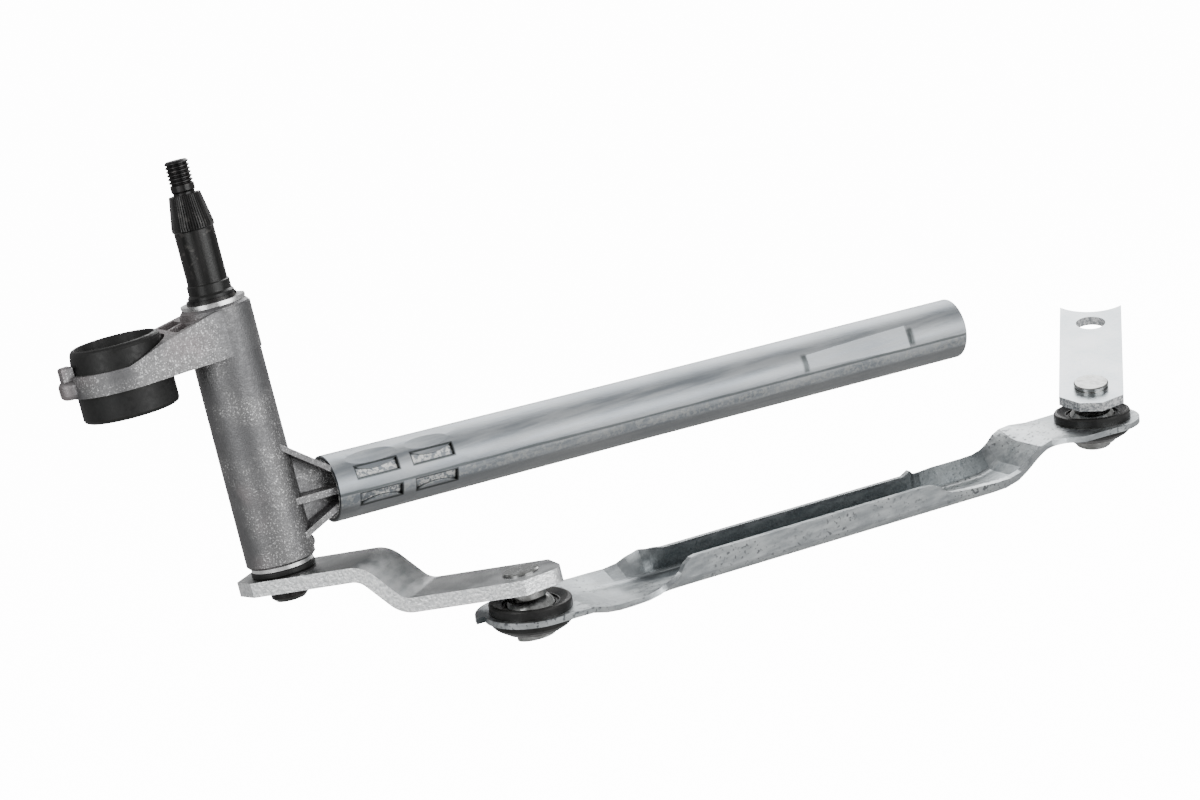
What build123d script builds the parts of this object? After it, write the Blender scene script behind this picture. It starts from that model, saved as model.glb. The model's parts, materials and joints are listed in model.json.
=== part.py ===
from build123d import *
import math
import os

# Windshield wiper assembly, millimetres. +Z runs up the wiper spindle, and the origin is on the
# spindle's axis at the middle of its threaded stud. +X follows the frame tube seen from above.

# ---- Wiper spindle ------------------------------------------------------------------------
STUD_R = 4.0                    # M8 stud for the wiper arm's nut
STUD_LEN = 10.0
THREAD_PITCH = 1.25
THREAD_DEPTH = 0.6
STUD_CHAMFER = 0.6
NECK_R = 3.6
NECK_LEN = 1.4
CONE_TOP_R = 5.3                # knurled cone that the wiper arm seats on
CONE_BOTTOM_R = 7.1
CONE_LAND = 1.2                 # straight band below the taper
CONE_LEN = 11.4
KNURL_COUNT = 48
KNURL_DEPTH = 0.3
SHANK_LEN = 23.2                # from the cone down to the thrust washer
JOURNAL_R = 6.0                 # the part that turns in the bushes
SHANK_R = JOURNAL_R + 0.7
RIVET_LEN = 4.6                 # upset end below the crank arm
RIVET_R = 6.4
RIVET_EDGE = 1.4

# ---- Pivot housing ------------------------------------------------------------------------
HOUSING_TOP_R = 11.5
HOUSING_BOTTOM_R = 11.8
HOUSING_LEN = 88.8
HOUSING_EDGE = 0.8
BUSH_R = JOURNAL_R + 2.0
BUSH_LEN = 18.0
RELIEF_R = BUSH_R + 0.6                  # cored hollow between the two bushes
SEAL_POCKET_DEPTH = 3.0
SEAL_POCKET_R = JOURNAL_R + SEAL_POCKET_DEPTH
RUNNING_GAP = 0.04              # radial clearance of a journal
FREE_GAP = 0.3                  # space between faces that only pass each other

# ---- Rings on the spindle -----------------------------------------------------------------
UPPER_WASHER_R = 10.8
UPPER_WASHER_T = 1.5
WASHER_STEP = 0.5               # groove under the upper washer's rim
RETAINING_R = 8.6
RETAINING_T = 1.1
RETAINING_GAP_DEG = 40.0
GROOVE_DEPTH = 0.9
COLLAR_R = 7.2                  # dust collar above the retaining ring
COLLAR_FOOT_R = 7.8
COLLAR_LEN = 5.0
COLLAR_SEAT_R = JOURNAL_R + 0.3
LOWER_WASHER_R = 10.6
LOWER_WASHER_T = 1.3
SEAL_RING_R = 10.9
SEAL_RING_T = 2.2

# ---- Side arm and grommet -----------------------------------------------------------------
ARM_REACH = 35.5                # spindle axis to grommet axis
ARM_YAW = 175.3
ARM_DROP = 16.9                 # housing top down to the arm's underside
RING_BAND = 7.3
RING_R = 17.9
GROMMET_R = 16.0
GROMMET_WAIST_R = 15.2
GROMMET_BELOW = 9.5
GROMMET_ABOVE = 14.8
GROMMET_RIM_R = 15.1
GROMMET_RIM_FLARE = 3.0         # depth of the opening's flared mouth
GROMMET_BORE_R = 12.6
ARM_WALL = 2.4
ARM_TOP_CLEAR = 1.3             # arm's highest edge below the housing top
ARM_RIB = 1.8                   # rib along the middle of the arm's pocket
ARM_COLLAR = 0.45               # the housing's step at the arm's underside
LUG_TURN = 4.7                  # degrees past the arm's own line
LUG_R = 4.0
LUG_T = 6.2
TAB_SIZE = 4.0
TAB_RISE = 4.8

# ---- Frame tube and the spigot that carries it --------------------------------------------
TUBE_R = 11.0
TUBE_MOUTH_R = 11.5             # swollen by the crimping
TUBE_SWELL_LEN = 120.0
TUBE_SEAT_R = 9.7               # sized seat in the open end
TUBE_SEAT_LEN = 18.0
TUBE_WALL = 1.5
TUBE_LEN = 255.3
TUBE_DIP = 4.02                 # degrees below square to the spindle
TUBE_START = 21.9               # spindle axis to the tube's mouth, along X
TUBE_MOUTH_DROP = 70.8          # housing top down to the mouth's centre
SPIGOT_GAP = 0.1
SPIGOT_IN = 50.0                # length inside the tube
MOUTH_POCKET = 9.0              # depth of the core's four pockets behind the tube's mouth
RIB_T = 2.3
WEB_T = 3.0
FLANGE_W = 15.6                 # at the tube's mouth
FLANGE_ROOT_W = 20.6            # at the spindle's axis
SPIGOT_TOP_RISE = 23.4          # upper rib's root above the tube's centre line
SPIGOT_BOTTOM_FALL = 16.6
SPIGOT_TOP_END = 8.6
SPIGOT_BOTTOM_END = 6.6
LUMP_R = 2.8                    # blob where the mould was filled
LUMP_RISE = 3.4
CRIMP_LEN = 15.5
CRIMP_W = 4.3                   # at its two ends
CRIMP_WAIST = 2.5
CRIMP_DEPTH = 1.0
CRIMP_FROM = (15.2, 36.0)       # centres along the tube from its mouth
CRIMP_ANGLE = 24.0              # above and below the tube's front line
PRESS_DEPTH = 0.3              # shallow hollow beside each crimp
PRESS_TURN = 27.0
PRESS_W = 8.0
DENT_FROM = 185.4               # pressed flat near the open end
DENT_LEN = 46.0
DENT_RAMP = 1.2
DENT_ANGLE = 15.0
DENT_TILT = 0.7
DENT_DEPTH = 0.55

# ---- Crank arm ----------------------------------------------------------------------------
CRANK_T = 5.0
CRANK_W = 24.0
CRANK_REACH = 83.2              # spindle to ball stud
CRANK_TAIL = 14.6
CRANK_TAIL_W = 14.0             # flat at the tail between two slanted corners
CRANK_TAIL_CUT = 7.4
CRANK_NOSE = 13.4
CRANK_NOSE_W = 9.0
CRANK_NOSE_CUT = 8.0
CRANK_NOSE_BULGE = 1.8
CRANK_DROP = 13.0
CRANK_BEND_FROM = 32.9
CRANK_BEND_TO = 44.9
CRANK_BEND_R = 8.8
CRANK_YAW = -47.6               # rest position

# ---- Ball studs and sockets ---------------------------------------------------------------
BALL_R = 9.5
ARM_BALL_DROP = 15.2            # plate's upper face down to the ball's centre
MOTOR_BALL_DROP = 15.5
BALL_FLAT_R = BALL_R - 1.0
BALL_FOOT_R = BALL_R - 3.1
BALL_FOOT_T = 2.3
BALL_NECK_R = BALL_R - 2.9
HEAD_R = 6.2
HEAD_EDGE = 0.4
ARM_HEAD_RISE = 0.9
STUD_SHANK_R = 5.2
BALL_GAP = 0.05
SEAT = 0.8                      # ball's centre up to the near eye's lower face
BOOT_R = BALL_R + 4.3
BOOT_T = 3.4
BOOT_RIM = 1.3
BOOT_BOWL = 1.7
BOOT_LIP_R = BALL_R - 0.1
SOCKET_LOWER_R = BALL_R + 3.8
SOCKET_LOWER_T = 4.8            # cup's depth below the eye
SOCKET_RIM_T = 2.2
SOCKET_EDGE = 1.0
SOCKET_MOUTH_R = BALL_R - 1.5
SOCKET_HUB_R = BALL_R + 1.5
SOCKET_CAP_R = BALL_R + 0.1

# ---- Connecting rod -----------------------------------------------------------------------
ROD_REACH = TUBE_LEN - 13.6      # the motor sits by the tube's open end
ROD_T = 2.0
ROD_JOG = 8.5                   # right eye above the left one
ROD_STEP = 3.4                  # channel floor below the left eye
ROD_HALF_W = 9.3
ROD_WALL = 9.2
ROD_BEND = 2.2                  # middle line's radius where the floor turns into a wall
ROD_EYE_R = 15.6
ROD_EYE_BACK_R = 18.5
ROD_EYE_TIP = 19.2              # how far the wide back of the eye goes past the ball
ROD_FAR_EYE_R = 17.0
ROD_YAW = 3.72
ROD_PITCH = 4.32
ROD_ROLL = 7.0

# ---- Motor crank --------------------------------------------------------------------------
MOTOR_W = 23.0
MOTOR_T = 3.4
MOTOR_REACH = 56.1              # ball stud to shaft hole
MOTOR_TAIL = 12.6
MOTOR_TAIL_W = 8.0
MOTOR_TAIL_CUT = 6.0
MOTOR_NOSE = 15.2
MOTOR_END_HOLLOW = 5.2
MOTOR_HOLE_R = 5.5
MOTOR_HEAD_RISE = 2.4
MOTOR_HEAD_GROOVE = 0.5
MOTOR_YAW = 49.8
MOTOR_PITCH = 13.4
MOTOR_ROLL = 9.9

os.makedirs("parts", exist_ok=True)

HOUSING_TOP = -(STUD_LEN / 2 + NECK_LEN + CONE_LEN + SHANK_LEN + RETAINING_T + UPPER_WASHER_T)
HOUSING_BOTTOM = HOUSING_TOP - HOUSING_LEN
CRANK_TOP = HOUSING_BOTTOM - LOWER_WASHER_T - SEAL_RING_T


def save(shape, node):
    """Write one sub-part under its node name."""
    shape.label = node
    export_step(shape, f"parts/{node}.step")


def disc(radius, top, thickness, bore=0.0):
    """A flat ring on the spindle axis, its upper face at top."""
    ring = Cylinder(radius, thickness, align=(Align.CENTER, Align.CENTER, Align.MAX))
    if bore:
        ring -= Cylinder(bore, thickness, align=(Align.CENTER, Align.CENTER, Align.MAX))
    return Pos(0, 0, top) * ring


def turned(points):
    """A solid of revolution about Z from (radius, height) points."""
    outline = Polyline(*[(r, 0, z) for r, z in points], close=True)
    return revolve(make_face(outline), Axis.Z)


# ---- Wiper spindle ------------------------------------------------------------------------
def wiper_spindle():
    stud_top = STUD_LEN / 2
    neck_top = -STUD_LEN / 2
    cone_top = neck_top - NECK_LEN
    cone_bottom = cone_top - CONE_LEN
    shank_end = HOUSING_TOP + UPPER_WASHER_T
    groove_top = shank_end + RETAINING_T
    rivet_top = CRANK_TOP - CRANK_T
    body = turned([
        (0, stud_top), (STUD_R - STUD_CHAMFER, stud_top), (STUD_R, stud_top - STUD_CHAMFER),
        (STUD_R, neck_top), (NECK_R, neck_top - 0.6), (NECK_R, cone_top),
        (CONE_TOP_R, cone_top), (CONE_BOTTOM_R, cone_bottom + CONE_LAND),
        (CONE_BOTTOM_R, cone_bottom), (SHANK_R, cone_bottom - 0.4),
        (SHANK_R, groove_top + COLLAR_LEN), (COLLAR_SEAT_R, groove_top + COLLAR_LEN),
        (COLLAR_SEAT_R, groove_top), (SHANK_R - GROOVE_DEPTH, groove_top),
        (SHANK_R - GROOVE_DEPTH, shank_end), (JOURNAL_R, shank_end), (JOURNAL_R, rivet_top),
        (RIVET_R, rivet_top), (RIVET_R, rivet_top - RIVET_LEN + RIVET_EDGE),
        (RIVET_R - RIVET_EDGE, rivet_top - RIVET_LEN), (0, rivet_top - RIVET_LEN)])
    ring_count = int((STUD_LEN - STUD_CHAMFER - 1.0) / THREAD_PITCH)
    for i in range(ring_count):
        z = stud_top - STUD_CHAMFER - (i + 0.6) * THREAD_PITCH
        half = 0.42 * THREAD_PITCH
        body -= turned([(STUD_R - THREAD_DEPTH, z - 0.05), (STUD_R + 0.1, z - half),
                        (STUD_R + 0.1, z + half), (STUD_R - THREAD_DEPTH, z + 0.05)])
    slope = math.degrees(math.atan((CONE_BOTTOM_R - CONE_TOP_R) / CONE_LEN))
    tooth = KNURL_DEPTH * 1.6
    cutter = Rot(0, -slope, 0) * Rot(0, 0, 45) * Box(tooth, tooth, CONE_LEN * 1.3)
    mid_r = (CONE_TOP_R + CONE_BOTTOM_R) / 2
    mid_z = (cone_top + cone_bottom) / 2
    keep = Pos(0, 0, mid_z) * Cylinder(CONE_BOTTOM_R + 2, CONE_LEN)
    teeth = [Rot(0, 0, i * 360 / KNURL_COUNT) * Pos(mid_r + 0.1, 0, mid_z) * cutter
             for i in range(KNURL_COUNT)]
    body -= Compound(children=[t & keep for t in teeth])
    return body


save(wiper_spindle(), "wiper_spindle")

gap = Pos(RETAINING_R, 0, 0) * Box(RETAINING_R, 2 * RETAINING_R * math.sin(math.radians(
    RETAINING_GAP_DEG / 2)), 4 * RETAINING_T)
retaining_ring = disc(RETAINING_R, HOUSING_TOP + UPPER_WASHER_T + RETAINING_T - 0.02,
                      RETAINING_T - 0.04, SHANK_R - GROOVE_DEPTH + 0.02)
retaining_ring -= Pos(0, 0, HOUSING_TOP + UPPER_WASHER_T) * Rot(0, 0, -25) * gap
save(retaining_ring, "retaining_ring")

upper_washer = turned([
    (JOURNAL_R + FREE_GAP, HOUSING_TOP), (UPPER_WASHER_R - WASHER_STEP, HOUSING_TOP),
    (UPPER_WASHER_R - WASHER_STEP, HOUSING_TOP + WASHER_STEP),
    (UPPER_WASHER_R, HOUSING_TOP + WASHER_STEP), (UPPER_WASHER_R, HOUSING_TOP + UPPER_WASHER_T),
    (JOURNAL_R + FREE_GAP, HOUSING_TOP + UPPER_WASHER_T)])
save(upper_washer, "upper_thrust_washer")

collar_base = HOUSING_TOP + UPPER_WASHER_T + RETAINING_T
dust_collar = turned([
    (COLLAR_SEAT_R, collar_base), (COLLAR_FOOT_R, collar_base),
    (COLLAR_FOOT_R, collar_base + COLLAR_LEN * 0.2), (COLLAR_R, collar_base + COLLAR_LEN * 0.35),
    (COLLAR_R, collar_base + COLLAR_LEN - 0.3), (COLLAR_R - 0.3, collar_base + COLLAR_LEN),
    (COLLAR_SEAT_R, collar_base + COLLAR_LEN)])
save(dust_collar, "dust_collar")
save(disc(LOWER_WASHER_R, HOUSING_BOTTOM, LOWER_WASHER_T, JOURNAL_R + FREE_GAP),
     "lower_thrust_washer")
seal_ring = disc(SEAL_RING_R, CRANK_TOP + SEAL_RING_T, SEAL_RING_T, JOURNAL_R + FREE_GAP)
save(fillet(seal_ring.edges().filter_by(GeomType.CIRCLE).group_by(SortBy.RADIUS)[-1], 0.7),
     "lower_seal_ring")


# ---- Pivot housing ------------------------------------------------------------------------
tube_axis = Pos(TUBE_START, 0, HOUSING_TOP - TUBE_MOUTH_DROP) * Rot(0, TUBE_DIP, 0)
tube_bore_r = TUBE_R - TUBE_WALL


def crimp_places(turn=0.0):
    """Places of the crimps: X along the tube, Y away from its front line, Z out of the wall."""
    places = []
    for along in CRIMP_FROM:
        for face in (0, 180):
            for flip in (0, 180):
                places.append(Pos(along, 0, 0) * Rot(90 + face, 0, 0) * Rot(0, 0, flip)
                              * Rot(-CRIMP_ANGLE - turn, 0, 0))
    return places


def crimp_block(grow, from_r, to_r):
    """A bow-tie block standing on the tube's radius, straight on its inner side."""
    half = CRIMP_LEN / 2 + grow
    low = -CRIMP_W / 2 - grow
    high = CRIMP_W / 2 + grow
    waist = high - (CRIMP_W - CRIMP_WAIST)
    outline = (Polyline((-half, high), (-half, low), (half, low), (half, high))
               + ThreePointArc((half, high), (0, waist), (-half, high)))
    return Pos(0, 0, from_r) * extrude(make_face(outline), to_r - from_r)


def side_arm():
    """Arm with its ring in its own frame: X from the spindle out to the grommet."""
    floor = HOUSING_TOP - ARM_DROP
    height = ARM_DROP - ARM_TOP_CLEAR
    root_r = HOUSING_TOP_R
    lean = math.asin((RING_R - root_r) / ARM_REACH)
    s, c = math.sin(lean), math.cos(lean)
    plan = make_face(Polyline(
        (-root_r * s, root_r * c), (ARM_REACH - RING_R * s, RING_R * c),
        (ARM_REACH - RING_R * s, -RING_R * c), (-root_r * s, -root_r * c), close=True))
    outer = plan + Pos(ARM_REACH, 0) * Circle(RING_R)
    body = Pos(0, 0, floor) * extrude(outer, height)
    kink = ARM_REACH + 1.5
    side = make_face(Polyline(
        (-2 * root_r, 0, floor - 1), (-2 * root_r, 0, floor + height), (4, 0, floor + height),
        (kink - 14, 0, floor + RING_BAND + 4.2), (kink, 0, floor + RING_BAND),
        (ARM_REACH + 2 * RING_R, 0, floor + RING_BAND),
        (ARM_REACH + 2 * RING_R, 0, floor - 1), close=True))
    body &= extrude(side, 2 * RING_R, both=True)
    pocket_far = ARM_REACH - GROMMET_WAIST_R - ARM_WALL - 0.6
    pocket_near = HOUSING_TOP_R + 0.4

    def half_w(x):
        return root_r * c + (x - root_r * s) * math.tan(lean) - ARM_WALL / c

    pocket = make_face(Polyline(
        (pocket_near, half_w(pocket_near)), (pocket_far, half_w(pocket_far)),
        (pocket_far, -half_w(pocket_far)), (pocket_near, -half_w(pocket_near)), close=True))
    pocket -= Rectangle(4 * ARM_REACH, ARM_RIB)
    body -= Pos(0, 0, floor + RING_BAND - ARM_WALL) * extrude(pocket, ARM_DROP)
    body -= Pos(0, 0, floor - ARM_WALL) * extrude(pocket, RING_BAND - ARM_WALL)
    stand = (Align.CENTER, Align.CENTER, Align.MIN)
    lug = Pos(RING_R, 0, 0.2) * Cylinder(LUG_R, LUG_T, align=stand)
    lug = fillet(lug.edges().filter_by(GeomType.CIRCLE), LUG_R / 2)
    tab = Pos(GROMMET_R + FREE_GAP + TAB_SIZE / 2, 0, LUG_T / 2) * Box(
        TAB_SIZE, TAB_SIZE, LUG_T / 2 + TAB_RISE, align=stand)
    tab = fillet(tab.edges().group_by(Axis.Z)[-1], TAB_SIZE / 4)
    body += Pos(ARM_REACH, 0, floor) * Rot(0, 0, LUG_TURN) * (lug + tab)
    body += Pos(0, 0, floor) * Cylinder(HOUSING_TOP_R + ARM_COLLAR, height, align=stand)
    seat = Pos(ARM_REACH, 0, floor) * Cylinder(GROMMET_WAIST_R + SPIGOT_GAP, 2 * ARM_DROP)
    collar = Pos(ARM_REACH, 0, floor + RING_BAND) * Cylinder(
        GROMMET_R + FREE_GAP, ARM_DROP, align=(Align.CENTER, Align.CENTER, Align.MIN))
    return body - seat - collar


def spigot():
    """Ribbed neck and the core that the tube is crimped on, in the tube's frame."""
    core_r = tube_bore_r - SPIGOT_GAP
    core = Rot(0, 90, 0) * Cylinder(core_r, SPIGOT_IN, align=(Align.CENTER, Align.CENTER, Align.MIN))
    pocket_h = core_r - RIB_T * 1.5
    for side in (1, -1):
        for up in (1, -1):
            core -= Pos(0, side * (WEB_T / 2 + core_r), up * (RIB_T + pocket_h) / 2) * Box(
                2 * MOUTH_POCKET, 2 * core_r, pocket_h)
    for place in crimp_places():
        core -= place * crimp_block(SPIGOT_GAP, tube_bore_r - CRIMP_DEPTH - SPIGOT_GAP, TUBE_R)
    root = -TUBE_START
    into = 4.0
    plan = make_face(Polyline(
        (root, FLANGE_ROOT_W / 2), (0, FLANGE_W / 2), (into, FLANGE_W / 2), (into, -FLANGE_W / 2),
        (0, -FLANGE_W / 2), (root, -FLANGE_ROOT_W / 2), close=True))
    column = extrude(plan, 2 * TUBE_START, both=True)

    def flange(z_root, z_mouth, z_thick):
        side = make_face(Polyline(
            (root, 0, z_root), (0, 0, z_mouth), (into, 0, z_mouth), (into, 0, z_mouth - z_thick),
            (0, 0, z_mouth - z_thick), (root, 0, z_root - z_thick), close=True))
        return extrude(side, FLANGE_ROOT_W, both=True)

    ribs = flange(SPIGOT_TOP_RISE, SPIGOT_TOP_END, RIB_T)
    ribs += flange(-SPIGOT_BOTTOM_FALL, -SPIGOT_BOTTOM_END, -RIB_T)
    ribs += flange(RIB_T / 2, RIB_T / 2, RIB_T)
    web = make_face(Polyline(
        (root, 0, SPIGOT_TOP_RISE - RIB_T / 2), (0, 0, SPIGOT_TOP_END - RIB_T / 2),
        (into, 0, SPIGOT_TOP_END - RIB_T / 2), (into, 0, RIB_T / 2 - SPIGOT_BOTTOM_END),
        (0, 0, RIB_T / 2 - SPIGOT_BOTTOM_END), (root, 0, RIB_T / 2 - SPIGOT_BOTTOM_FALL), close=True))
    neck = (ribs & column) + extrude(web, WEB_T / 2, both=True)
    sleeve = Rot(0, 90, 0) * Cylinder(core_r, 2 * into, align=(Align.CENTER, Align.CENTER, Align.MIN))
    outside = Pos(into, 0, 0) * Box(2 * into, 4 * TUBE_R, 4 * TUBE_R) - sleeve
    return core + (neck - outside)


def pivot_housing():
    shell = turned([
        (0, HOUSING_TOP), (HOUSING_TOP_R - HOUSING_EDGE, HOUSING_TOP),
        (HOUSING_TOP_R, HOUSING_TOP - HOUSING_EDGE),
        (HOUSING_BOTTOM_R, HOUSING_BOTTOM + HOUSING_EDGE),
        (HOUSING_BOTTOM_R - HOUSING_EDGE, HOUSING_BOTTOM), (0, HOUSING_BOTTOM)])
    body = shell + Rot(0, 0, ARM_YAW) * side_arm() + tube_axis * spigot()
    body += Pos(HOUSING_BOTTOM_R - LUMP_R / 2, 0, HOUSING_BOTTOM + LUMP_RISE) * Sphere(LUMP_R)
    bore = turned([
        (0, HOUSING_TOP + 1), (SEAL_POCKET_R, HOUSING_TOP + 1),
        (SEAL_POCKET_R, HOUSING_TOP - SEAL_POCKET_DEPTH), (BUSH_R, HOUSING_TOP - SEAL_POCKET_DEPTH),
        (BUSH_R, HOUSING_TOP - SEAL_POCKET_DEPTH - BUSH_LEN),
        (RELIEF_R, HOUSING_TOP - SEAL_POCKET_DEPTH - BUSH_LEN - 0.6),
        (RELIEF_R, HOUSING_BOTTOM + BUSH_LEN + 0.6), (BUSH_R, HOUSING_BOTTOM + BUSH_LEN),
        (BUSH_R, HOUSING_BOTTOM - 1), (0, HOUSING_BOTTOM - 1)])
    return body - bore


save(pivot_housing(), "pivot_housing")

for name, top in (("upper_bush", HOUSING_TOP - SEAL_POCKET_DEPTH),
                  ("lower_bush", HOUSING_BOTTOM + BUSH_LEN)):
    save(disc(BUSH_R, top, BUSH_LEN, JOURNAL_R + RUNNING_GAP), name)

cord_r = (SEAL_POCKET_R - JOURNAL_R) / 2 - FREE_GAP / 2
grease_seal = Pos(0, 0, HOUSING_TOP - SEAL_POCKET_DEPTH / 2) * Torus(
    (SEAL_POCKET_R + JOURNAL_R) / 2 + FREE_GAP / 2, cord_r)
save(grease_seal, "grease_seal")


# ---- Frame tube ---------------------------------------------------------------------------
def frame_tube():
    end = TUBE_LEN
    tube = Rot(0, 90, 0) * turned([
        (0, 0), (TUBE_MOUTH_R, 0), (TUBE_R, TUBE_SWELL_LEN), (TUBE_R, end), (0, end)])
    hole = Rot(0, 90, 0) * turned([
        (0, -1), (tube_bore_r, -1), (tube_bore_r, end - TUBE_SEAT_LEN),
        (TUBE_SEAT_R, end - TUBE_SEAT_LEN), (TUBE_SEAT_R, end + 1), (0, end + 1)])
    round_r = CRIMP_LEN ** 2 / (8 * PRESS_DEPTH)
    for place in crimp_places(PRESS_TURN):
        tube -= place * Pos(0, 0, TUBE_MOUTH_R + round_r - PRESS_DEPTH * 1.6) * Rot(90, 0, 0) * Cylinder(
            round_r, PRESS_W)
    for place in crimp_places():
        tube -= place * crimp_block(0, TUBE_R - CRIMP_DEPTH, TUBE_R + 2)
    half = DENT_LEN / 2
    press = make_face(Polyline(
        (-half + DENT_RAMP, 0, -DENT_DEPTH), (half - DENT_RAMP, 0, -DENT_DEPTH),
        (half + DENT_RAMP, 0, 2 * DENT_DEPTH), (-half - DENT_RAMP, 0, 2 * DENT_DEPTH), close=True))
    tube -= (Pos(DENT_FROM + half, 0, 0) * Rot(90 - DENT_ANGLE, 0, 0) * Pos(0, 0, TUBE_R)
             * Rot(0, DENT_TILT, 0) * extrude(press, TUBE_R, both=True))
    tube -= hole
    for place in crimp_places():
        tube += place * crimp_block(0, tube_bore_r - CRIMP_DEPTH, tube_bore_r + 0.3)
    return tube_axis * tube


save(frame_tube(), "frame_tube")


# ---- Body grommet -------------------------------------------------------------------------
def body_grommet():
    waist = GROMMET_WAIST_R
    lip = GROMMET_R
    top = GROMMET_ABOVE
    rim = GROMMET_RIM_R
    outline = [
        (GROMMET_BORE_R, -GROMMET_BELOW), (lip - 1.2, -GROMMET_BELOW), (lip - 0.4, 0.4 - GROMMET_BELOW),
        (lip, 1.2 - GROMMET_BELOW), (lip, 0), (waist, 0), (waist, RING_BAND), (lip, RING_BAND),
        (rim, top - 1.8), (rim - 0.3, top - 0.9), (rim - 0.8, top - 0.3), (rim - 1.5, top),
        (rim - 1.9, top - 0.2), (GROMMET_BORE_R, top - GROMMET_RIM_FLARE)]
    place = Rot(0, 0, ARM_YAW) * Pos(ARM_REACH, 0, HOUSING_TOP - ARM_DROP)
    return place * turned(outline)


save(body_grommet(), "body_grommet")


# ---- Crank arm ----------------------------------------------------------------------------
def strip(corners, radius, thickness, width):
    """A bent flat bar: its middle line in XZ, bent at each inner corner to radius."""
    path = FilletPolyline(*corners, radius=radius)
    return Rot(90, 0, 0) * extrude(trace(path, line_width=thickness), width / 2, both=True)


crank_frame = Pos(0, 0, CRANK_TOP) * Rot(0, 0, CRANK_YAW)
arm_stud_frame = crank_frame * Pos(CRANK_REACH, 0, -CRANK_DROP)


def crank_arm():
    mid = -CRANK_T / 2
    half = CRANK_W / 2
    end = CRANK_REACH + CRANK_NOSE
    bar = strip([(-CRANK_TAIL, mid), (CRANK_BEND_FROM, mid), (CRANK_BEND_TO, mid - CRANK_DROP),
                 (end, mid - CRANK_DROP)], CRANK_BEND_R, CRANK_T, CRANK_W)
    plan = (Polyline(
        (end - CRANK_NOSE_BULGE, CRANK_NOSE_W / 2), (end - CRANK_NOSE_CUT, half),
        (CRANK_TAIL_CUT - CRANK_TAIL, half), (-CRANK_TAIL, CRANK_TAIL_W / 2),
        (-CRANK_TAIL, -CRANK_TAIL_W / 2), (CRANK_TAIL_CUT - CRANK_TAIL, -half),
        (end - CRANK_NOSE_CUT, -half), (end - CRANK_NOSE_BULGE, -CRANK_NOSE_W / 2))
        + ThreePointArc((end - CRANK_NOSE_BULGE, -CRANK_NOSE_W / 2), (end, 0),
                        (end - CRANK_NOSE_BULGE, CRANK_NOSE_W / 2)))
    bar &= extrude(make_face(plan), 2 * CRANK_DROP, both=True)
    bar -= Pos(0, 0, mid) * Cylinder(JOURNAL_R, 2 * CRANK_T)
    bar -= Pos(CRANK_REACH, 0, mid - CRANK_DROP) * Cylinder(STUD_SHANK_R, 2 * CRANK_T)
    return crank_frame * bar


save(crank_arm(), "crank_arm")


# ---- Ball studs ---------------------------------------------------------------------------
def ball_stud(plate_t, drop, head_rise, groove=0.0):
    """Stud in its own frame: origin on the plate's upper face, ball hanging below."""
    neck_bottom = math.sqrt(BALL_R ** 2 - BALL_NECK_R ** 2) - drop
    flat = -drop - math.sqrt(BALL_R ** 2 - BALL_FLAT_R ** 2)
    overlap = 0.5
    ball = Pos(0, 0, -drop) * Sphere(BALL_R)
    ball &= Pos(0, 0, flat) * Box(4 * BALL_R, 4 * BALL_R, 3 * BALL_R,
                                  align=(Align.CENTER, Align.CENTER, Align.MIN))
    neck = turned([(0, -plate_t), (BALL_NECK_R, -plate_t), (BALL_NECK_R, neck_bottom - overlap),
                   (0, neck_bottom - overlap)])
    shank = turned([(0, 0), (STUD_SHANK_R, 0), (STUD_SHANK_R, -plate_t - overlap),
                    (0, -plate_t - overlap)])
    foot = turned([(0, flat + overlap), (BALL_FOOT_R, flat + overlap),
                   (BALL_FOOT_R, flat - BALL_FOOT_T), (0, flat - BALL_FOOT_T)])
    head = turned([(0, head_rise), (HEAD_R - HEAD_EDGE, head_rise), (HEAD_R, head_rise - HEAD_EDGE),
                   (HEAD_R, 0), (0, 0)])
    stud = ball + neck + shank + foot + head
    if groove:
        stud -= disc(HEAD_R + 1, head_rise / 2, groove, HEAD_R - groove)
    return stud


save(arm_stud_frame * ball_stud(CRANK_T, ARM_BALL_DROP, ARM_HEAD_RISE), "arm_ball_stud")


# ---- Connecting rod and its sockets -------------------------------------------------------
ball_place = arm_stud_frame * Pos(0, 0, -ARM_BALL_DROP)
ball_at = ball_place.position
rod_frame = Pos(*ball_at) * Rot(0, 0, ROD_YAW) * Rot(0, ROD_PITCH, 0) * Rot(ROD_ROLL, 0, 0)


def rod_section(floor, half_w, back_deg, back_len, front_deg, front_len):
    """Closed outline (y, z) of the bent sheet: back wall tip, floor, front wall tip."""
    steps = 4
    bent = ROD_BEND * math.pi / 2
    line = []
    for sign, deg, length in ((1, back_deg, back_len), (-1, front_deg, front_len)):
        turn = math.radians(deg)
        side = []
        for k in range(steps + 1):
            a = turn * k / steps
            along = bent / turn * math.sin(a) if turn else bent * k / steps
            rise = bent / turn * (1 - math.cos(a)) if turn else 0.0
            side.append((sign * (half_w + along), floor + rise, sign * a))
        y, z, a = side[-1]
        side.append((y + sign * length * math.cos(turn), z + length * math.sin(turn), a))
        line += side[::-1] if sign > 0 else side
    upper = [(y - math.sin(a) * ROD_T / 2, z + math.cos(a) * ROD_T / 2) for y, z, a in line]
    lower = [(y + math.sin(a) * ROD_T / 2, z - math.cos(a) * ROD_T / 2) for y, z, a in line]
    return upper + lower[::-1]


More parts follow.
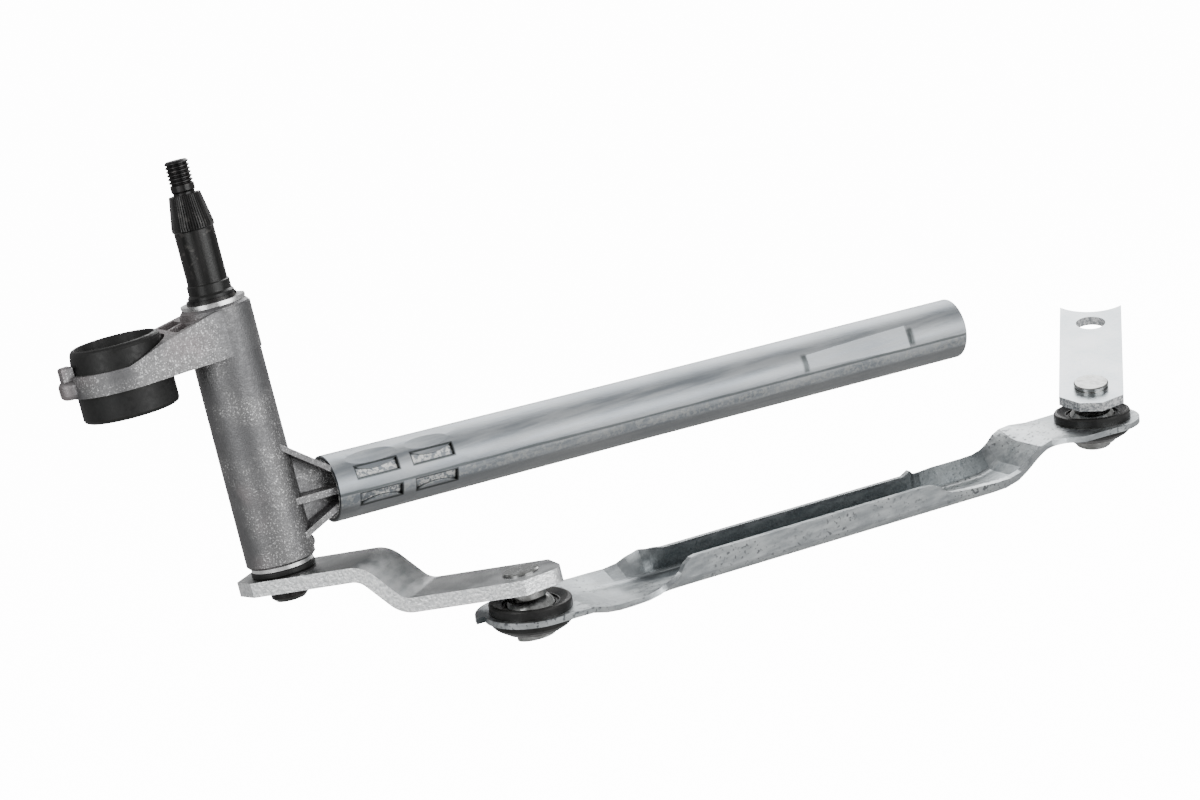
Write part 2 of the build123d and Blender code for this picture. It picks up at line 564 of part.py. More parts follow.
def rod_stations():
    """Along the rod: x, floor, half width, back angle and length, front angle and length."""
    near = SEAT + ROD_T / 2
    low = near - ROD_STEP
    rise = ROD_JOG + ROD_STEP
    full = ROD_HALF_W - ROD_T / 2 - ROD_BEND
    wall = ROD_WALL - ROD_BEND
    eye = ROD_EYE_R - ROD_BEND * math.pi / 2
    far_eye = ROD_FAR_EYE_R - ROD_BEND * math.pi / 2
    end = ROD_REACH
    return [
        (0, near, 6.0, 0, eye - 6.0 + 2.6, 0, eye - 6.0),
        (8, near, 6.0, 0, eye - 6.0 + 2.4, 0, eye - 6.0),
        (14, near, 6.0, 0, 8.7, 0, 6.4), (20, near - 1.7, 6.0, 12, 8.2, 0, 5.2),
        (26, low + 0.6, 6.0, 19, 8.0, 0, 3.6), (32, low + 0.1, 6.0, 24, 7.8, 2, 2.6),
        (38, low, full, 26, 7.4, 6, 2.2), (43, low, full, 32, 7.4, 18, 1.8),
        (46, low, full, 44, 7.8, 36, 1.8), (50, low, full, 66, 8.2, 62, 1.8),
        (53, low, full, 79, wall + 0.5, 85, 2.6),
        (55, low, full, 86, wall + 0.4, 90, 4.8), (57.5, low, full, 90, wall, 90, 6.6),
        (60, low, full, 90, wall, 90, wall), (end - 85.7, low, full, 90, wall, 90, wall),
        (end - 81.7, low, full, 90, wall, 90, wall - 0.4),
        (end - 78.7, low, full, 90, wall + 1.5, 90, wall - 1.4),
        (end - 76.7, low, full, 84, wall - 0.3, 90, 3.6),
        (end - 73.7, low, full, 78, wall - 0.5, 88, 2.4),
        (end - 65.7, low, full, 72, wall, 85, 1.8), (end - 53.7, low, full, 68, wall, 82, 1.4),
        (end - 47.7, low + 0.02 * rise, full, 64, wall, 80, 1.4),
        (end - 42.7, low + 0.12 * rise, full, 56, wall, 76, 1.6),
        (end - 38.7, low + 0.31 * rise, full, 44, wall, 66, 2.2),
        (end - 34.7, low + 0.57 * rise, full, 31, 7.4, 50, 3.4),
        (end - 30.7, low + 0.82 * rise, full, 18, 7.2, 30, 5.0),
        (end - 25.7, low + 0.97 * rise, 6.0, 8, 7.2, 12, 6.4),
        (end - 17.7, near + ROD_JOG, 6.0, 0, 7.0, 0, 7.0),
        (end - 7.7, near + ROD_JOG, 6.0, 0, far_eye - 6.4, 0, far_eye - 6.4),
        (end, near + ROD_JOG, 6.0, 0, far_eye - 6.0, 0, far_eye - 6.0)]


def connecting_rod():
    near = SEAT
    far = near + ROD_JOG
    sections = []
    for x, *shape in rod_stations():
        outline = [(x, y, z) for y, z in rod_section(*shape)]
        sections.append(make_face(Polyline(*outline, close=True)))
    body = loft(sections, ruled=True)
    reach = 2 * ROD_EYE_BACK_R
    eye = Circle(ROD_EYE_R)
    back = Circle(ROD_EYE_BACK_R) & Pos(0, reach / 2 + 5) * Rectangle(2 * reach, reach)
    back &= Rot(0, 0, 150) * Pos(ROD_EYE_TIP - reach, 0) * Rectangle(2 * reach, 2 * reach)
    eye = (eye + back) & Pos(-reach / 2 + 0.1, 0) * Rectangle(reach, 2 * reach)
    far_eye = Circle(ROD_FAR_EYE_R) & Pos(reach / 2 - 0.1, 0) * Rectangle(reach, 2 * reach)
    body += Pos(0, 0, near) * extrude(eye, ROD_T)
    body += Pos(ROD_REACH, 0, far) * extrude(far_eye, ROD_T)
    for x in (0, ROD_REACH):
        body -= Pos(x, 0, 0) * Cylinder(SOCKET_HUB_R, 60)
    return rod_frame * body


save(connecting_rod(), "connecting_rod")


def ball_socket():
    """Cup around a ball at its origin, clipped through the rod's eye."""
    inner = BALL_R + BALL_GAP
    mouth = math.sqrt(inner ** 2 - SOCKET_MOUTH_R ** 2)
    bottom = SEAT - SOCKET_LOWER_T
    top = SEAT + ROD_T + BOOT_T - BOOT_BOWL
    rim = SEAT - SOCKET_RIM_T
    cup = turned([
        (0, bottom), (SOCKET_CAP_R, bottom), (SOCKET_LOWER_R - SOCKET_EDGE, rim - SOCKET_EDGE),
        (SOCKET_LOWER_R, rim), (SOCKET_LOWER_R, SEAT), (SOCKET_HUB_R, SEAT), (SOCKET_HUB_R, top),
        (0, top)])
    cup -= Sphere(inner)
    return cup - Pos(0, 0, mouth - 0.4) * Cone(SOCKET_MOUTH_R, SOCKET_MOUTH_R + 2.4, BALL_R,
                                               align=(Align.CENTER, Align.CENTER, Align.MIN))


def dust_boot():
    """Soft ring on the eye that closes the cup, with a bowl down to the stud."""
    base = SEAT + ROD_T + RUNNING_GAP
    top = SEAT + ROD_T + BOOT_T
    lip = top - BOOT_BOWL
    return turned([
        (SOCKET_HUB_R, base), (BOOT_R, base), (BOOT_R, top - 0.8), (BOOT_R - 0.3, top - 0.3),
        (BOOT_R - 0.8, top), (BOOT_R - BOOT_RIM, top), (BOOT_LIP_R + 0.4, lip + 0.6),
        (BOOT_LIP_R, lip + 0.6), (BOOT_LIP_R, lip), (SOCKET_HUB_R, lip)])


far_ball = rod_frame * Pos(ROD_REACH, 0, ROD_JOG)
for end, place in (("arm", rod_frame), ("motor", far_ball)):
    save(place * ball_socket(), f"{end}_end_socket")
    save(place * dust_boot(), f"{end}_end_boot")

# ---- Motor crank --------------------------------------------------------------------------
motor_frame = (Pos(*far_ball.position) * Rot(0, 0, MOTOR_YAW) * Rot(0, -MOTOR_PITCH, 0)
               * Rot(MOTOR_ROLL, 0, 0) * Pos(0, 0, MOTOR_BALL_DROP))


def motor_crank():
    half = MOTOR_W / 2
    end = MOTOR_REACH + MOTOR_NOSE
    outline = (Polyline(
        (end, half), (MOTOR_TAIL_CUT - MOTOR_TAIL, half), (-MOTOR_TAIL, MOTOR_TAIL_W / 2),
        (-MOTOR_TAIL, -MOTOR_TAIL_W / 2), (MOTOR_TAIL_CUT - MOTOR_TAIL, -half), (end, -half))
        + ThreePointArc((end, -half), (end - MOTOR_END_HOLLOW, 0), (end, half)))
    plate = extrude(make_face(outline), -MOTOR_T)
    plate -= Pos(MOTOR_REACH, 0, 0) * Cylinder(MOTOR_HOLE_R, 4 * MOTOR_T)
    plate -= Cylinder(STUD_SHANK_R, 4 * MOTOR_T)
    return motor_frame * plate


save(motor_crank(), "motor_crank")
save(motor_frame * ball_stud(MOTOR_T, MOTOR_BALL_DROP, MOTOR_HEAD_RISE, MOTOR_HEAD_GROOVE),
     "motor_ball_stud")

for label, place in (("grommet", Rot(0, 0, ARM_YAW) * Pos(ARM_REACH, 0, HOUSING_TOP - ARM_DROP)),
                     ("arm stud", arm_stud_frame), ("arm ball", ball_place),
                     ("far ball", Pos(*far_ball.position)), ("motor stud", motor_frame),
                     ("motor hole", motor_frame * Pos(MOTOR_REACH, 0, -MOTOR_T / 2)),
                     ("tube mouth", tube_axis), ("tube end", tube_axis * Pos(TUBE_LEN, 0, 0))):
    axis = Plane(place)
    print(label, [round(v, 4) for v in tuple(axis.origin)],
          "x", [round(v, 5) for v in tuple(axis.x_dir)],
          "z", [round(v, 5) for v in tuple(axis.z_dir)])
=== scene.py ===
import json
import math
import bmesh
import bpy
from mathutils import Matrix, Vector


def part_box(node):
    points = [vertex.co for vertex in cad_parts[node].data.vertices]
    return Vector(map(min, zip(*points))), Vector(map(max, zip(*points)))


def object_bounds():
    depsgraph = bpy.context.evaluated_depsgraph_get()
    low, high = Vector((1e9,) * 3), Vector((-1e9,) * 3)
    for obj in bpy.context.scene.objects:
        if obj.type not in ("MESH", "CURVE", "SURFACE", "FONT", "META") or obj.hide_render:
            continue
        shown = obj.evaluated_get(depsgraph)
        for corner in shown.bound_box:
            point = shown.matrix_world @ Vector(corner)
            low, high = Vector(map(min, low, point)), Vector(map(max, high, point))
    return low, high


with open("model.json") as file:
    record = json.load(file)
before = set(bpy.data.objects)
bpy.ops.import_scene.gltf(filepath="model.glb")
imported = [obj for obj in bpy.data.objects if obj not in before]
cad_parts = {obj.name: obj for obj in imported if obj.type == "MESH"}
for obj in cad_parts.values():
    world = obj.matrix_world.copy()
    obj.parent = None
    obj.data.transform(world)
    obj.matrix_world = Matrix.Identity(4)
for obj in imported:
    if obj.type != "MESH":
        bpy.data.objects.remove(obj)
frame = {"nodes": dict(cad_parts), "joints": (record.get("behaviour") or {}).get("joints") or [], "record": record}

cad_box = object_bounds()


# ---- Camera -------------------------------------------------------------------------------
# A long lens a metre away, a little above the levers and tilted so that the spindle leans to
# the left. It is placed from the housing's upper face.
housing_face_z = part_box("upper_thrust_washer")[0][2]
camera_at = Vector((-0.3569, -0.9841, 0.1241 + housing_face_z))
camera_look = Vector((0.43588, 0.88266, -0.17585))
camera_lean = Vector((0.28880, 0.04789, 0.95619))
lens_width = 36.0
lens_length = 95.6

camera_right = camera_look.cross(camera_lean).normalized()
camera_up = camera_right.cross(camera_look).normalized()
camera_turn = Matrix((camera_right, camera_up, -camera_look)).transposed().to_4x4()
lens = bpy.data.cameras.new("product_lens")
lens.sensor_width = lens_width
lens.lens = lens_length
lens.clip_start = 0.05
lens.clip_end = 100.0
camera = bpy.data.objects.new("product_camera", lens)
camera.matrix_world = Matrix.Translation(camera_at) @ camera_turn
bpy.context.scene.collection.objects.link(camera)
bpy.context.scene.camera = camera


# ---- Floor --------------------------------------------------------------------------------
# A white paper sweep below the hanging linkage. It is burnt out to the camera, as for a
# catalogue, but stays dim in the metal's reflections.
floor_drop = 0.16
floor_size = 60.0
paper_grey = (0.5, 0.5, 0.5, 1)
paper_white = (1, 1, 1, 1)
burn_out = 14.0

floor_mesh = bmesh.new()
bmesh.ops.create_grid(floor_mesh, x_segments=1, y_segments=1, size=floor_size)
bmesh.ops.translate(floor_mesh, verts=floor_mesh.verts, vec=(0, 0, cad_box[0][2] - floor_drop))
floor_data = bpy.data.meshes.new("studio_floor")
floor_mesh.to_mesh(floor_data)
floor_mesh.free()
floor = bpy.data.objects.new("studio_floor", floor_data)
bpy.context.scene.collection.objects.link(floor)

floor_paper = bpy.data.materials.new("floor_paper")
floor_paper.use_nodes = True
paper = floor_paper.node_tree.nodes["Principled BSDF"]
paper.inputs["Base Color"].default_value = paper_grey
paper.inputs["Roughness"].default_value = 0.9
paper.inputs["Emission Color"].default_value = paper_white
seen = floor_paper.node_tree.nodes.new("ShaderNodeLightPath").outputs["Is Camera Ray"]
burnt = floor_paper.node_tree.nodes.new("ShaderNodeMath")
burnt.operation = "MULTIPLY"
burnt.inputs[1].default_value = burn_out
floor_paper.node_tree.links.new(seen, burnt.inputs[0])
floor_paper.node_tree.links.new(burnt.outputs[0], paper.inputs["Emission Strength"])
floor_data.materials.append(floor_paper)


# ---- Lights -------------------------------------------------------------------------------
# An even white studio and three soft panels. The pale one behind lights what looks up and back,
# the two others fill in from the left and from the front.
studio_light = 0.55
panels = {
    "panel_back": dict(offset=(0.66, 0.67, 0.75), size=(1.0, 1.0), power=15),
    "panel_left": dict(offset=(-1.1, -0.5, 0.35), size=(0.5, 0.9), power=7),
    "panel_front": dict(offset=(0.5, -1.3, 0.15), size=(1.2, 0.6), power=15),
}

world = bpy.data.worlds.new("studio")
bpy.context.scene.world = world
world.use_nodes = True
world.node_tree.nodes["Background"].inputs["Color"].default_value = (1, 1, 1, 1)
world.node_tree.nodes["Background"].inputs["Strength"].default_value = studio_light


def softbox(name, place, aim, size, power):
    """A rectangular area light at place, facing aim."""
    data = bpy.data.lights.new(name, "AREA")
    data.shape = "RECTANGLE"
    data.size, data.size_y = size
    data.energy = power
    lamp = bpy.data.objects.new(name, data)
    lamp.location = place
    lamp.rotation_euler = (aim - place).to_track_quat("-Z", "Y").to_euler()
    bpy.context.scene.collection.objects.link(lamp)


middle = (Vector(cad_box[0]) + Vector(cad_box[1])) / 2
for name, panel in panels.items():
    softbox(name, middle + Vector(panel["offset"]), middle, panel["size"], panel["power"])


# ---- Pivot housing ------------------------------------------------------------------------
# Pressure die cast aluminium, left as cast: a dull grey skin, warm in places and full of fine
# bright specks. It carries the spindle, the tube on its spigot and the grommet in its arm.
def coordinate(tree, label="Object"):
    """A texture coordinate of the piece: its place, or with Normal the way it faces."""
    return tree.nodes.new("ShaderNodeTexCoord").outputs[label]


def noise(tree, vector, scale, detail=3.0):
    """The value of a noise texture over vector; scale is a number or a socket."""
    texture = tree.nodes.new("ShaderNodeTexNoise")
    texture.inputs["Detail"].default_value = detail
    tree.links.new(vector, texture.inputs["Vector"])
    if isinstance(scale, float):
        texture.inputs["Scale"].default_value = scale
    else:
        tree.links.new(scale, texture.inputs["Scale"])
    return texture.outputs["Fac"]


def step(tree, value, low, high, to_low=0.0, to_high=1.0):
    """A smooth step of value, from to_low where it is low to to_high where it is high."""
    ramp = tree.nodes.new("ShaderNodeMapRange")
    ramp.interpolation_type = "SMOOTHSTEP"
    tree.links.new(value, ramp.inputs["Value"])
    ramp.inputs["From Min"].default_value = low
    ramp.inputs["From Max"].default_value = high
    ramp.inputs["To Min"].default_value = to_low
    ramp.inputs["To Max"].default_value = to_high
    return ramp.outputs["Result"]


def maths(tree, operation, first, second=None):
    """One maths node; each argument is a number or a socket."""
    node = tree.nodes.new("ShaderNodeMath")
    node.operation = operation
    for slot, value in enumerate((first, second)):
        if value is None:
            continue
        if isinstance(value, (int, float)):
            node.inputs[slot].default_value = value
        else:
            tree.links.new(value, node.inputs[slot])
    return node.outputs[0]


def overlap(tree, *masks):
    """Where all the masks hold; a plain number among them thins the result."""
    common = masks[0]
    for mask in masks[1:]:
        common = maths(tree, "MULTIPLY", common, mask)
    return common


def blend(tree, factor, first, second):
    """A mix of two colours; each is a triple or a colour socket."""
    mix = tree.nodes.new("ShaderNodeMix")
    mix.data_type = "RGBA"
    tree.links.new(factor, mix.inputs["Factor"])
    for slot, colour in ((6, first), (7, second)):
        if isinstance(colour, tuple):
            mix.inputs[slot].default_value = (*colour, 1)
        else:
            tree.links.new(colour, mix.inputs[slot])
    return mix.outputs[2]


def marks_group():
    """The node group that every finish here is made from: grain, clouds, streaks and specks."""
    tree = bpy.data.node_groups.new("surface_marks", "ShaderNodeTree")
    for label, default in (("grain_scale", 900.0), ("cloud_scale", 40.0), ("speck_scale", 700.0),
                           ("streak_x", 1.0), ("streak_y", 1.0), ("streak_z", 1.0)):
        socket = tree.interface.new_socket(label, in_out="INPUT", socket_type="NodeSocketFloat")
        socket.default_value = default
    for label in ("grain", "cloud", "streak", "speck"):
        tree.interface.new_socket(label, in_out="OUTPUT", socket_type="NodeSocketFloat")
    come, go = tree.nodes.new("NodeGroupInput"), tree.nodes.new("NodeGroupOutput")

    place = coordinate(tree)
    stretch = tree.nodes.new("ShaderNodeCombineXYZ")
    for axis in "XYZ":
        tree.links.new(come.outputs["streak_" + axis.lower()], stretch.inputs[axis])
    stretched = tree.nodes.new("ShaderNodeVectorMath")
    stretched.operation = "MULTIPLY"
    tree.links.new(place, stretched.inputs[0])
    tree.links.new(stretch.outputs["Vector"], stretched.inputs[1])

    crystal_edge = (0.57, 0.66)
    patch_edge = (0.40, 0.58)
    grain = noise(tree, place, come.outputs["grain_scale"])
    cloud = noise(tree, place, come.outputs["cloud_scale"], detail=4.0)
    streak = noise(tree, stretched.outputs["Vector"], 600.0, detail=4.0)
    crystals = noise(tree, place, come.outputs["speck_scale"], detail=2.0)
    speck = overlap(tree, step(tree, crystals, *crystal_edge), step(tree, cloud, *patch_edge))
    for label, mark in (("grain", grain), ("cloud", cloud), ("streak", streak), ("speck", speck)):
        tree.links.new(mark, go.inputs[label])
    return tree


surface_marks = marks_group()
relief_depth = 0.0004


class Finish:
    """A procedural finish: colour from clouds and streaks, gloss from streaks, relief from grain.

    dark and light are its two colours, rough its two roughnesses, streaks how much of the colour
    follows the streaks and marks the scales of the marks.
    """

    def __init__(self, name, dark, light, rough, marks, bump, metallic=1.0, specular=0.5,
                 streaks=0.5):
        self.material = bpy.data.materials.new(name)
        self.material.use_nodes = True
        self.tree = self.material.node_tree
        self.shader = self.tree.nodes["Principled BSDF"]
        self.shader.inputs["Metallic"].default_value = metallic
        self.shader.inputs["Specular IOR Level"].default_value = specular
        group = self.tree.nodes.new("ShaderNodeGroup")
        group.node_tree = surface_marks
        for label, scale in marks.items():
            group.inputs[label].default_value = scale
        self.marks = group.outputs
        mottle = maths(self.tree, "ADD", overlap(self.tree, self.marks["cloud"], 1 - streaks),
                       overlap(self.tree, self.marks["streak"], streaks))
        self.paint(blend(self.tree, step(self.tree, mottle, 0.36, 0.64), dark, light))
        self.polish(step(self.tree, self.marks["streak"], 0.3, 0.7, *rough))
        self.relief = self.tree.nodes.new("ShaderNodeBump")
        self.relief.inputs["Strength"].default_value = bump
        self.relief.inputs["Distance"].default_value = relief_depth
        self.tree.links.new(self.marks["grain"], self.relief.inputs["Height"])
        self.tree.links.new(self.relief.outputs["Normal"], self.shader.inputs["Normal"])

    def paint(self, colour):
        """Set the colour socket that feeds the shader."""
        self.colour = colour
        self.tree.links.new(colour, self.shader.inputs["Base Color"])

    def polish(self, rough):
        """Set the roughness socket that feeds the shader."""
        self.rough = rough
        self.tree.links.new(rough, self.shader.inputs["Roughness"])

    def tint(self, colour, *masks):
        """Lay a colour over the finish where all the masks hold."""
        self.paint(blend(self.tree, overlap(self.tree, *masks), self.colour, colour))

    def dress(self, *nodes):
        """Put the finish on CAD nodes."""
        for node in nodes:
            frame["nodes"][node].data.shade_smooth()
            for slot in frame["nodes"][node].material_slots:
                slot.material = self.material


cast_skin = Finish(
    "cast_skin", dark=(0.17, 0.17, 0.175), light=(0.23, 0.228, 0.23), rough=(0.45, 0.6), bump=0.3,
    marks=dict(grain_scale=1500.0, cloud_scale=55.0, speck_scale=1700.0), streaks=0.15)
warm_grey, bright_crystal = (0.27, 0.245, 0.25), (0.62, 0.62, 0.62)
warm_patches = noise(cast_skin.tree, coordinate(cast_skin.tree), 30.0)
cast_skin.tint(warm_grey, step(cast_skin.tree, warm_patches, 0.52, 0.66))
cast_skin.tint(bright_crystal, cast_skin.marks["speck"])
cast_skin.dress("pivot_housing")


# ---- Bushes -------------------------------------------------------------------------------
# Two sintered bronze sleeves, brown and finely porous, pressed into the housing's bore. The
# spindle turns in them.
bush_skin = Finish(
    "bush_skin", dark=(0.2, 0.13, 0.07), light=(0.4, 0.28, 0.16), rough=(0.4, 0.6), bump=0.25,
    marks=dict(grain_scale=1500.0, cloud_scale=60.0))
bush_skin.dress("upper_bush", "lower_bush")


# ---- Wiper spindle and retaining ring -----------------------------------------------------
# Hardened steel, turned, rolled and knurled, then black phosphated and oiled. The sheen shows
# as narrow lengthwise glints with a few scuffs. The ring snaps into the spindle's groove.
black_steel = Finish(
    "black_steel", dark=(0.006, 0.006, 0.006), light=(0.016, 0.015, 0.015), rough=(0.28, 0.42),
    bump=0.1, metallic=0.2, specular=0.35, streaks=0.7,
    marks=dict(grain_scale=1200.0, cloud_scale=110.0, speck_scale=500.0, streak_z=0.08))
scuff_brown = (0.05, 0.047, 0.045)
black_steel.tint(scuff_brown, black_steel.marks["speck"])
black_steel.dress("wiper_spindle", "retaining_ring")


# ---- Thrust washers -----------------------------------------------------------------------
# Bright zinc plated steel washers, punched from sheet. One lies on each face of the housing and
# takes the spindle's thrust.
washer_zinc = Finish(
    "washer_zinc", dark=(0.82, 0.82, 0.82), light=(0.95, 0.95, 0.95), rough=(0.22, 0.35),
    bump=0.05, marks=dict(grain_scale=900.0, cloud_scale=90.0))
washer_zinc.dress("upper_thrust_washer", "lower_thrust_washer")


# ---- Grommet, seal ring and grease seal ---------------------------------------------------
# Moulded black rubber with a satin skin, a little paler where it has been handled. The grommet
# is pushed into the arm's ring, the other two lie around the spindle.
black_rubber = Finish(
    "black_rubber", dark=(0.007, 0.007, 0.007), light=(0.014, 0.014, 0.014), rough=(0.42, 0.6),
    bump=0.08, metallic=0.0, specular=0.3,
    marks=dict(grain_scale=1500.0, cloud_scale=45.0, speck_scale=300.0))
black_rubber.dress("body_grommet", "lower_seal_ring", "grease_seal")


# ---- Dust collar, ball cups and boots -----------------------------------------------------
# Black mouldings: a hard collar pushed onto the spindle, hard cups clipped in the rod's eyes
# around the balls, and the soft boots that close them.
black_moulding = Finish(
    "black_moulding", dark=(0.006, 0.006, 0.006), light=(0.011, 0.011, 0.011), rough=(0.3, 0.42),
    bump=0.05, metallic=0.0, specular=0.35, marks=dict(grain_scale=1500.0, cloud_scale=60.0))
black_moulding.dress("dust_collar", "arm_end_socket", "motor_end_socket", "arm_end_boot",
                     "motor_end_boot")


# ---- Frame tube ---------------------------------------------------------------------------
# Welded steel tube, galvanised: bluish with lengthwise streaks. Its trimmed weld seam is a dark
# line low along the front, above a coarse pale band. Painted shade darkens its underside, the
# walls and outline of the crimps that lock it on the housing and the ends of its long dent,
# and the crimps' floors carry painted highlights.
mm = 0.001
tube_length = 255.3 * mm
tube_radius = 11.0 * mm
crimp_floor = tube_radius - 1.0 * mm
crimp_centres = (15.2 * mm, 36.0 * mm)         # along the tube from its mouth
crimp_length, crimp_width = 15.5 * mm, 4.3 * mm
crimp_angle = math.radians(24)                 # above and below the tube's front line
crimps_end = 55.0 * mm
dent_ends = (185.4 * mm, 231.4 * mm)
rim_half_width = 0.2 * mm                                # half the width of the painted shade around each crimp
seam = (-0.20, -0.16, -0.12, -0.08)            # angles up from the front line, in radians
pale_band = (-0.56, -0.46, -0.22, -0.16)
shaded_belly = (-0.45, -0.62)
dent_front = (-0.12, 0.0, 0.45, 0.62)
belly_shade_grey, band_grey, seam_black = (0.17, 0.17, 0.165), (0.50, 0.51, 0.50), (0.09, 0.10, 0.10)
wall_shade_black, floor_highlight = (0.04, 0.045, 0.045), (0.8, 0.8, 0.78)
rim_shade_black, dent_end_shade = (0.05, 0.055, 0.055), (0.06, 0.07, 0.07)

mounts = {mount["name"]: mount for mount in frame["record"]["mounts"]}
end_bore = mounts["tube_end_bore"]
tube_axis = Vector(end_bore["axis"]).normalized()
tube_front = Vector((0, -1, 0))
tube_up = tube_front.cross(tube_axis)
open_end = Vector(end_bore["pos_m"]) + tube_axis * (end_bore["dims"]["length_mm"] * mm / 2)
tube_mouth = open_end - tube_axis * tube_length


def reach(tree, vector, direction):
    """How far a vector socket reaches along a direction."""
    product = tree.nodes.new("ShaderNodeVectorMath")
    product.operation = "DOT_PRODUCT"
    tree.links.new(vector, product.inputs[0])
    product.inputs[1].default_value = direction
    return product.outputs["Value"]


def away(tree, value, target):
    """How far value is from target, whichever side."""
    return maths(tree, "ABSOLUTE", maths(tree, "SUBTRACT", value, target))


def between(tree, value, outer_low, low, high, outer_high):
    """A mask that holds from low to high and fades out to the two outer values."""
    return overlap(tree, step(tree, value, outer_low, low), step(tree, value, outer_high, high))


def tube_place(tree):
    """Where a point is on the tube: along from its mouth, radius, and angle up from the front."""
    from_mouth = tree.nodes.new("ShaderNodeVectorMath")
    from_mouth.operation = "SUBTRACT"
    tree.links.new(coordinate(tree), from_mouth.inputs[0])
    from_mouth.inputs[1].default_value = tube_mouth
    along, out, up = (reach(tree, from_mouth.outputs["Vector"], direction)
                      for direction in (tube_axis, tube_front, tube_up))
    squares = (maths(tree, "MULTIPLY", side, side) for side in (out, up))
    radius = maths(tree, "SQRT", maths(tree, "ADD", *squares))
    return along, radius, maths(tree, "ARCTAN2", up, out)


tube_skin = Finish(
    "tube_skin", dark=(0.27, 0.295, 0.32), light=(0.42, 0.44, 0.455), rough=(0.44, 0.56),
    bump=0.08, streaks=0.6,
    marks=dict(grain_scale=700.0, cloud_scale=35.0, speck_scale=900.0, streak_x=0.06))
tube_tree = tube_skin.tree
along, radius, angle = tube_place(tube_tree)
grain = tube_skin.marks["grain"]

# The seam wanders a little, and the scarfed band below it shows its coarse grain.
off_average = maths(tube_tree, "SUBTRACT", tube_skin.marks["streak"], 0.5)
wandering = maths(tube_tree, "ADD", angle, maths(tube_tree, "MULTIPLY", off_average, 0.10))
# Painted shade darkens the underside, below the front line.
tube_skin.tint(belly_shade_grey, step(tube_tree, wandering, *shaded_belly), 0.6)
tube_skin.tint(band_grey, between(tube_tree, wandering, *pale_band),
               step(tube_tree, grain, 0.46, 0.60), 0.7)
tube_skin.tint(seam_black, between(tube_tree, wandering, *seam), 0.75)

# A crimp's wall and floor are known by their radius, its rim by the outline around it. The wall
# and rim are given painted shade, the floor painted highlights.
at_crimps = step(tube_tree, along, crimps_end + 5 * mm, crimps_end)
crimp_wall = between(tube_tree, radius, crimp_floor + 0.08 * mm, crimp_floor + 0.20 * mm,
                     tube_radius - 0.22 * mm, tube_radius)
crimp_bottom = step(tube_tree, radius, crimp_floor + 0.15 * mm, crimp_floor + 0.03 * mm)
# Painted shade on the crimps' walls, inside the pockets.
tube_skin.tint(wall_shade_black, crimp_wall, at_crimps, 0.85)
# Painted highlights on the grain of the crimps' floors.
tube_skin.tint(floor_highlight, crimp_bottom, step(tube_tree, grain, 0.42, 0.58), at_crimps)
off_centre = maths(tube_tree, "MINIMUM", *(away(tube_tree, along, at) for at in crimp_centres))
off_row = away(tube_tree, maths(tube_tree, "ABSOLUTE", angle), crimp_angle)
off_crimp = maths(
    tube_tree, "MAXIMUM", maths(tube_tree, "SUBTRACT", off_centre, crimp_length / 2),
    maths(tube_tree, "SUBTRACT", overlap(tube_tree, off_row, tube_radius), crimp_width / 2))
# Painted shade along the outline of each crimp.
rim_shade = step(tube_tree, maths(tube_tree, "ABSOLUTE", off_crimp), 3 * rim_half_width, rim_half_width)
tube_skin.tint(rim_shade_black, rim_shade, 0.85)

# Painted shade: a dark line at each end of the long dent, on its end walls.
off_line = maths(tube_tree, "MINIMUM", *(away(tube_tree, along, at) for at in dent_ends))
tube_skin.tint(dent_end_shade, step(tube_tree, off_line, 1.8 * mm, 0.4 * mm),
               between(tube_tree, wandering, *dent_front), 0.8)
tube_skin.dress("frame_tube")


# ---- Crank arm and motor crank ------------------------------------------------------------
# Thick steel pressings with a bright zinc finish, riveted to the spindle and to the studs.
# Their sheared sides are coarse, the rolled faces above and below smoother. The sides are given
# their own tone by the way they face, so their contrast with the rolled faces is partly painted
# light and shade, with painted glints on the torn grain.
joints = {joint["name"]: joint for joint in frame["joints"]}
arm_up = joints["rod_swing"]["axis"]
motor_up = joints["motor_lever_turn"]["axis"]
torn_grain_glint = (0.96, 0.97, 0.97)


def cut_sides(finish, up, shear_in_light, rough):
    """Paint the sides across the plate's up direction as sheared metal, partly painted light."""
    tree = finish.tree
    side = step(tree, maths(tree, "ABSOLUTE", reach(tree, coordinate(tree, "Normal"), up)),
                0.45, 0.30)
    torn = step(tree, finish.marks["grain"], 0.38, 0.62)
    # Painted light and shade: the sides take their own tone by the way they face, with painted glints on the torn
    # grain.
    finish.tint(blend(tree, torn, shear_in_light, torn_grain_glint), side)
    gloss = tree.nodes.new("ShaderNodeMix")
    tree.links.new(side, gloss.inputs["Factor"])
    tree.links.new(finish.rough, gloss.inputs[2])
    gloss.inputs[3].default_value = rough
    finish.polish(gloss.outputs[0])
    coarse = maths(tree, "ADD", overlap(tree, side, 0.5), 0.08)
    tree.links.new(coarse, finish.relief.inputs["Strength"])


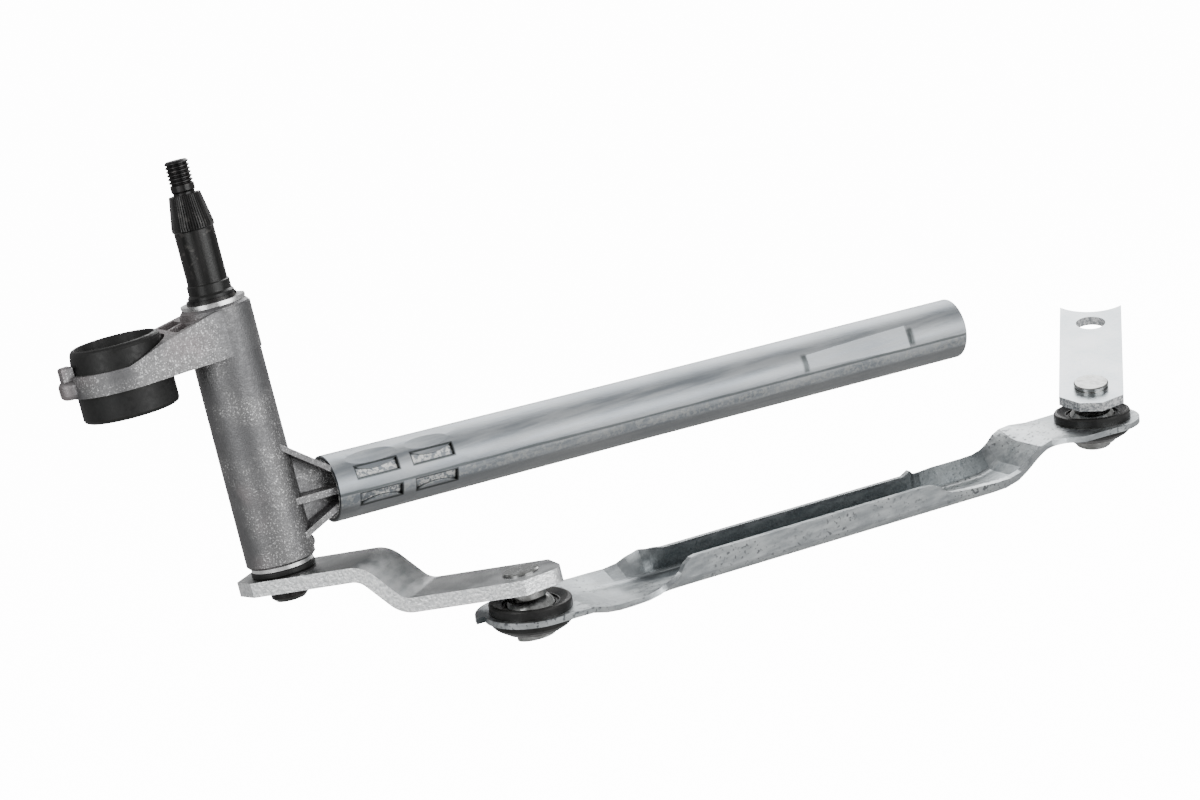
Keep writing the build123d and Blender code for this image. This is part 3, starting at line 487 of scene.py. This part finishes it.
arm_zinc = Finish(
    "arm_zinc", dark=(0.19, 0.20, 0.205), light=(0.33, 0.335, 0.34), rough=(0.3, 0.42), bump=0.08,
    marks=dict(grain_scale=1000.0, cloud_scale=50.0, speck_scale=900.0, streak_x=0.3,
               streak_y=0.3))
cut_sides(arm_zinc, arm_up, shear_in_light=(0.70, 0.72, 0.73), rough=0.4)
arm_zinc.dress("crank_arm")

motor_zinc = Finish(
    "motor_zinc", dark=(0.40, 0.445, 0.47), light=(0.60, 0.62, 0.64), rough=(0.3, 0.42),
    bump=0.08, marks=dict(grain_scale=1000.0, cloud_scale=50.0, speck_scale=900.0))
cut_sides(motor_zinc, motor_up, shear_in_light=(0.42, 0.44, 0.46), rough=0.35)
motor_zinc.dress("motor_crank")


# ---- Ball studs ---------------------------------------------------------------------------
# Turned steel with a polished ball, zinc finished, with tool rings on the head. Each is riveted
# to its lever and held by its ball in the rod's cup.
stud_zinc = Finish(
    "stud_zinc", dark=(0.20, 0.20, 0.195), light=(0.40, 0.405, 0.40), rough=(0.12, 0.28),
    bump=0.06, marks=dict(grain_scale=900.0, cloud_scale=110.0))
stud_zinc.dress("arm_ball_stud", "motor_ball_stud")


# ---- Connecting rod -----------------------------------------------------------------------
# A channel pressed from galvanised sheet, with flat eyes. It is spangled, with small pits, and
# the inside of its far wall carries painted shade.
near_ball = Vector(joints["rod_swing"]["pos_m"])
far_ball = Vector(joints["motor_lever_turn"]["pos_m"])
run = far_ball - near_ball
across = Vector((-run.y, run.x, 0)).normalized()
pit_grey, far_wall_shade = (0.17, 0.18, 0.19), (0.07, 0.08, 0.085)

sheet_skin = Finish(
    "sheet_skin", dark=(0.33, 0.355, 0.37), light=(0.50, 0.525, 0.53), rough=(0.32, 0.46),
    bump=0.12, streaks=0.45,
    marks=dict(grain_scale=800.0, cloud_scale=45.0, speck_scale=800.0, streak_x=0.25))
sheet_skin.tint(pit_grey, sheet_skin.marks["speck"])
midline = near_ball.dot(across)
far_half = step(sheet_skin.tree, reach(sheet_skin.tree, coordinate(sheet_skin.tree), across),
                midline, midline + 2 * mm)
facing_in = step(sheet_skin.tree,
                 reach(sheet_skin.tree, coordinate(sheet_skin.tree, "Normal"), across),
                 -0.72, -0.92)
# Painted shade on the inside face of the far wall, within the channel.
sheet_skin.tint(far_wall_shade, far_half, facing_in, 0.85)
sheet_skin.dress("connecting_rod")
